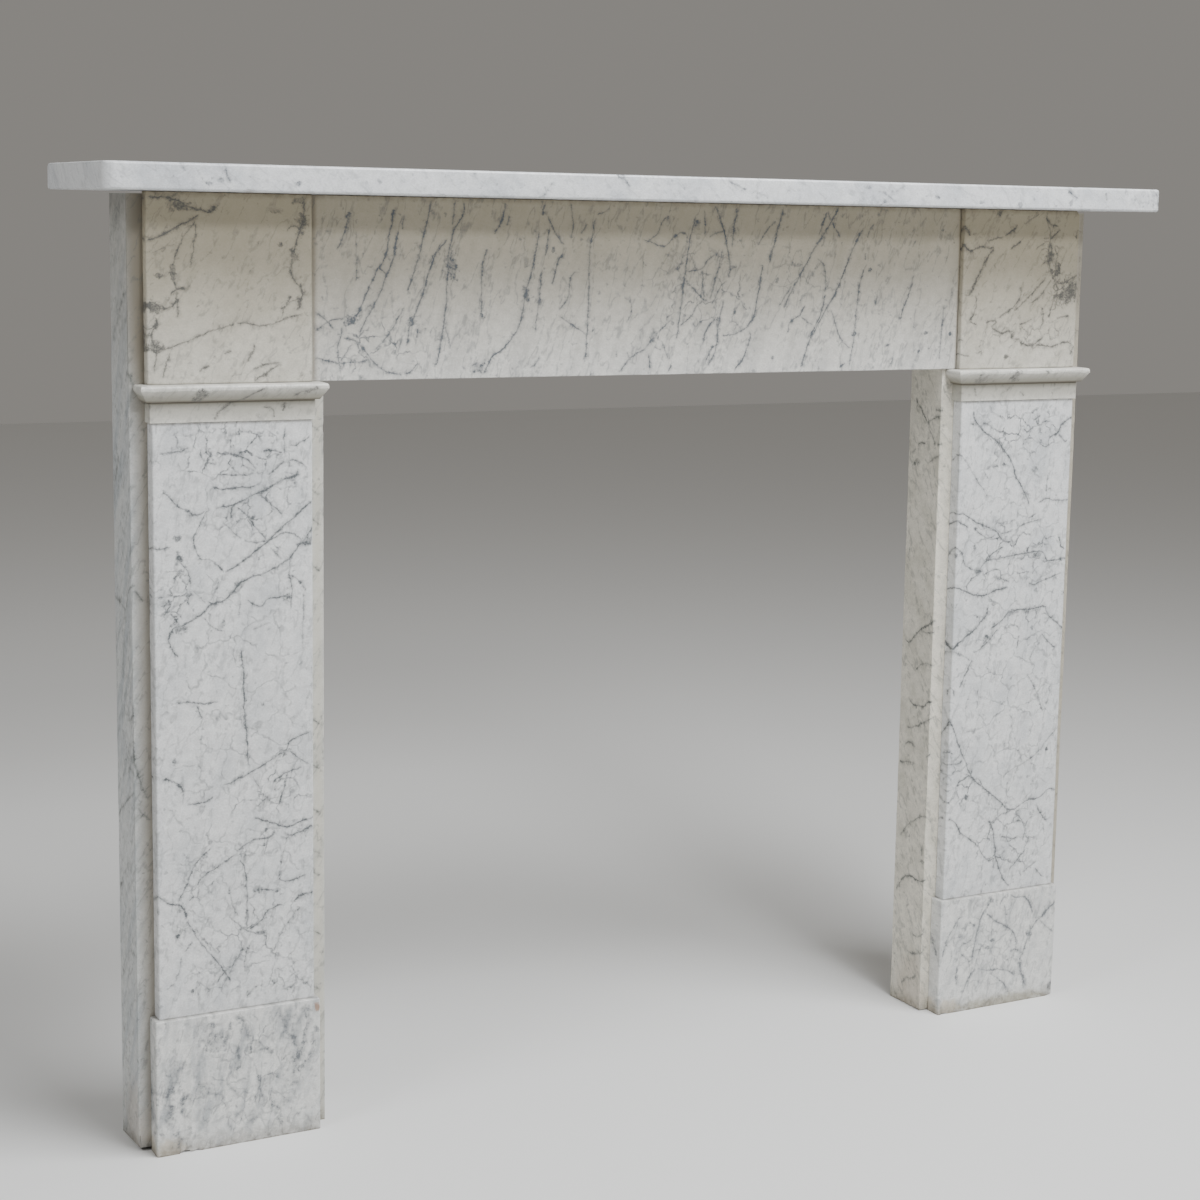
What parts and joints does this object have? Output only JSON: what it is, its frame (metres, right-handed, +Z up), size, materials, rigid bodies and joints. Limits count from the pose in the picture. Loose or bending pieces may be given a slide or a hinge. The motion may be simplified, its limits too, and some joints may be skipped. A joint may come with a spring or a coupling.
{
  "type": "fireplace mantelpiece",
  "caption": "Plain veined white marble fireplace surround: shelf on a frieze, end blocks, splayed capitals, flat pilaster panels and plinths on a pair of jambs.",
  "frame": {"origin": "on the floor, midway between the jambs and midway through the shelf's depth", "axes": "+Z up, -Y out of the front into the room, +Y towards the wall, +X to the right as seen from the front"},
  "size_m": [1.44, 0.254, 1.15],
  "materials": {
    "shelf_marble": "satin, old polish, cool white with blue-grey smudges",
    "frieze_marble": "satin, white with upright grey-green veins",
    "block_marble": "satin, warm white with thin grey veins",
    "capital_marble": "satin, warm white, dirt in the quirk",
    "pilaster_marble": "satin, cool white with a network of fine grey veins",
    "plinth_marble": "satin, cool white with soft blue-grey blotches",
    "jamb_marble": "duller satin, cream grey with streaks, darker near the floor"
  },
  "bodies": {
    "root": {"shelf": "shelf_marble", "frieze": "frieze_marble", "block_left": "block_marble", "block_right": "block_marble", "capital_left": "capital_marble", "capital_right": "capital_marble", "pilaster_left": "pilaster_marble", "pilaster_right": "pilaster_marble", "plinth_left": "plinth_marble", "plinth_right": "plinth_marble", "jamb_left": "jamb_marble", "jamb_right": "jamb_marble"}
  },
  "joints": []
}
